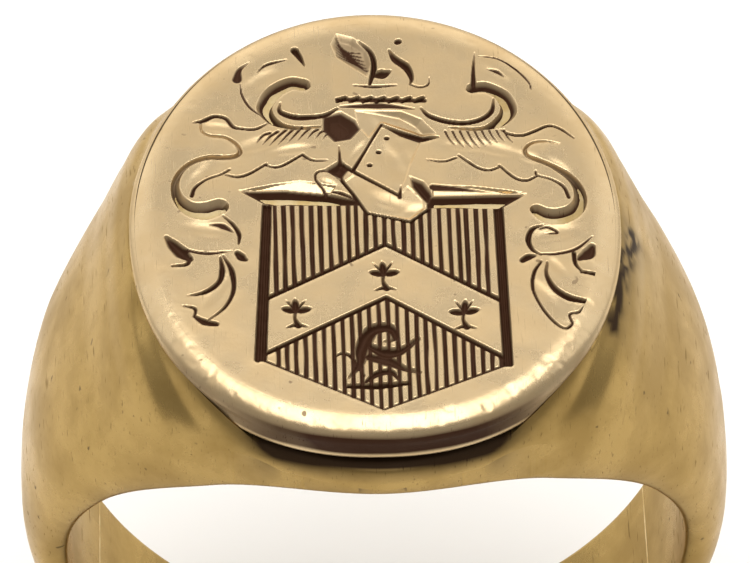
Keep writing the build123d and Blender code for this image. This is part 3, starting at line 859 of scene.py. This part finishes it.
def crease_dirt_and_shade(skin):
    """Painted shade and dirt on the head: shade in the crease, as far as the plate stands over the metal, and
    dirt in one ragged streak.

    Both fade as a bell over the distance, to the plate's outline and to the streak's line beside it."""
    x, y, z = np.moveaxis(skin, -1, 0)
    out = np.minimum(inset(x, y), 0)
    near = np.exp(-((out / 0.1) ** 2)) + 0.5 * np.exp(-((out / 0.4) ** 2))
    open_crease = np.clip((PLATE_TOP - 0.75 - z) / 0.5, 0, 1) * np.clip((4.6 - np.abs(x)) / 1.5, 0, 1)
    along = np.clip((y - STREAK_FOOT[1]) / STREAK_RUN[1], 0, 1)
    aside = np.hypot(x - STREAK_FOOT[0] - STREAK_RUN[0] * along, y - STREAK_FOOT[1] - STREAK_RUN[1] * along)
    ragged = np.clip(0.55 + 0.9 * waves(x, y, z, 0.45, 41) + 0.5 * waves(x, y, z, 1.2, 42), 0, 1)
    streak = 1.15 * np.exp(-((aside / 0.19) ** 2)) * ragged + 0.36 * np.exp(-((aside / 0.55) ** 2))
    # Painted shade: darkening in the crease under the plate, where the plate overhangs the metal.
    crease = near * open_crease * np.clip((z - 10.3) / 0.4, 0, 1)
    return np.clip(crease + streak * (z > 9.4), 0, 1)


def ring_stretch(name, start, end, count, proud=0.0):
    """A closed stretch of the ring between two angles: its skin, and a fan of triangles over each end."""
    skin = seated(band(np.linspace(start, end, count), proud=proud))
    across = skin.shape[1]
    faces = ring_faces(count, across)[:(count - 1) * across][:, ::-1].tolist()
    points = np.vstack([skin.reshape(-1, 3), skin[0].mean(0), skin[-1].mean(0)])
    j = np.arange(across)
    last = (count - 1) * across
    start_fan = np.column_stack([j, (j + 1) % across, np.full(across, len(points) - 2)])
    end_fan = np.column_stack([last + (j + 1) % across, last + j, np.full(across, len(points) - 1)])
    faces += start_fan[:, ::-1].tolist() + end_fan[:, ::-1].tolist()
    dirt = np.append(crease_dirt_and_shade(skin).ravel(), [0, 0])
    return put_mesh(name, points, faces, dirt)


# Yellow 18 carat gold, filed and hand polished, then worn: warm, satin, with fine scratches and small pits.
band_gold = worn_gold("yellow_gold_worn_polish", "#AC9059", "#997E4A", "#2E1E0E", 0.24, 0.34, 2.4, 0.07)
head = ring_stretch("head_and_shoulders", -SEAM_ANGLE + 0.4, SEAM_ANGLE - 0.4, 820)
head.data.materials.append(band_gold)
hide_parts("ring_head")

# ----------------------------------------
# The shank: a plain band of yellow gold, half round outside and flat inside, let in between the shoulders.

shank = ring_stretch("shank_band", SEAM_ANGLE, 360 - SEAM_ANGLE, 320)
shank.data.materials.append(band_gold)
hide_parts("shank")

# ----------------------------------------
# The hard solder: a film in the seat under the plate, and a line where the shank meets each shoulder. It is
# paler than the band, and its lines stand a hair proud of the polish.

# Hard gold solder, filed flush: paler and duller than the band, because it holds more silver.
solder_gold = worn_gold("pale_hard_solder", "#DCC79A", "#C4AA74", "#3A2A18", 0.3, 0.4, 0.8, 0.07)
for name, side in (("seam_solder_left", -1), ("seam_solder_right", 1)):
    seam = ring_stretch(name + "_line", side * (SEAM_ANGLE - 0.2) - 0.22, side * (SEAM_ANGLE - 0.2) + 0.22, 5,
                        proud=0.004)
    seam.data.materials.append(solder_gold)
    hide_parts(name)


FILM_AROUND = 240


def solder_film():
    """The film under the plate: its outline drawn in by a little, as a flat slab with a sunken edge."""
    angle = np.linspace(0, 2 * math.pi, FILM_AROUND, endpoint=False)[:, None]
    low, high = (corner[2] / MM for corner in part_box("table_solder"))
    share = 1 - np.array([0.5, 0.05, 0.022, 0.03, 0.022, 0.05, 0.5])
    height = np.array([high, high, high, (low + high) / 2, low, low, low])
    x, y = (edge * share for edge in outline(angle))
    skin = np.stack([x, y, height + 0 * x], -1)
    points = np.vstack([skin.reshape(-1, 3), [[0, 0, high], [0, 0, low]]])
    i = np.arange(FILM_AROUND)
    after = (i + 1) % FILM_AROUND
    faces = [face for face in ring_faces(FILM_AROUND, 7).tolist() if {face[0] % 7, face[1] % 7} != {0, 6}]
    top_fan = np.column_stack([i * 7, after * 7, np.full(FILM_AROUND, len(points) - 2)])
    low_fan = np.column_stack([after * 7 + 6, i * 7 + 6, np.full(FILM_AROUND, len(points) - 1)])
    dirt = np.append(np.tile([0, 0.5, 1, 1, 1, 0.5, 0], FILM_AROUND), [0, 0])
    return put_mesh("solder_film", points, faces + top_fan.tolist() + low_fan.tolist(), dirt)


film = solder_film()
film.data.materials.append(solder_gold)
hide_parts("table_solder")

# ----------------------------------------
# The set: a plain white table under the ring, soft light from above and behind, and a long lens.

floor_height = cad_box[0][2] / MM
bpy.ops.mesh.primitive_plane_add(size=3.0, location=(0, 0, floor_height * MM))
floor = bpy.context.object
floor.name = "white_table"
# Matt white card: plain, pale and without gloss.
paper = bpy.data.materials.new("white_card")
paper.use_nodes = True
paper.node_tree.nodes["Principled BSDF"].inputs["Base Color"].default_value = linear("#FBFAF8")
paper.node_tree.nodes["Principled BSDF"].inputs["Roughness"].default_value = 0.9
floor.data.materials.append(paper)

world = bpy.data.worlds.new("soft_room")
world.use_nodes = True
room = world.node_tree
room.nodes.clear()
toward = add(room, "SeparateXYZ", {0: add(room, "TexCoord").outputs["Generated"]}).outputs
# Brighter behind the ring than before it, brighter still at the far horizon and straight above.
behind, above, horizon = (
    add(room, "MapRange", {"Value": toward[axis], "From Min": low, "From Max": high, "To Min": dim,
                           "To Max": bright}, interpolation_type="SMOOTHSTEP").outputs["Result"]
    for axis, low, high, dim, bright in (("Y", -0.8, 0.6, 0.4, 0.62), ("Z", 0.8, 0.94, 0.0, 0.4),
                                         ("Y", 0.66, 0.95, 0.0, 1.1)))
glow = add(room, "Math", {0: behind, 1: above}, operation="ADD").outputs[0]
glow = add(room, "Math", {0: glow, 1: horizon}, operation="ADD").outputs[0]
sky = add(room, "Background", {"Color": linear("#FFFBF4"), "Strength": glow})
add(room, "OutputWorld", {"Surface": sky.outputs[0]})
bpy.context.scene.world = world


def softbox(name, place, aim, size, power):
    """A square area light, its place, aim and size in mm."""
    light = bpy.data.lights.new(name, "AREA")
    light.size = size * MM
    light.energy = power
    box = bpy.data.objects.new(name, light)
    box.location = Vector(place) * MM
    box.rotation_euler = (Vector(aim) - Vector(place)).to_track_quat("-Z", "Y").to_euler()
    box.visible_camera = False
    bpy.context.scene.collection.objects.link(box)


softbox("light_above", (0, 20, 220), (0, 10, 5), 200, 0.34)
for name, side in (("light_left", -1), ("light_right", 1)):
    softbox(name, (side * 190, 130, 130), (0, 15, -10), 220, 0.1)

LENS = 320.0
DISTANCE = 200.0
ELEVATION, AZIMUTH, ROLL = 49.54, -1.87, 0.24
target = Vector((0.01, 0.0, 9.28))
rise, swing, roll = (math.radians(v) for v in (ELEVATION, AZIMUTH, ROLL))
back = Vector((math.sin(swing) * math.cos(rise), -math.cos(swing) * math.cos(rise), math.sin(rise)))
level = Vector((0, 0, 1)).cross(back).normalized()
upright = back.cross(level)
right = level * math.cos(roll) + upright * math.sin(roll)
up = upright * math.cos(roll) - level * math.sin(roll)
camera = bpy.data.objects.new("camera", bpy.data.cameras.new("camera"))
facing = Matrix((right, up, back)).transposed().to_4x4()
camera.matrix_world = Matrix.Translation((target + back * DISTANCE) * MM) @ facing
camera.data.lens = LENS
camera.data.clip_start = 0.005
bpy.context.scene.collection.objects.link(camera)
bpy.context.scene.camera = camera
bpy.context.scene.view_settings.view_transform = "Standard"
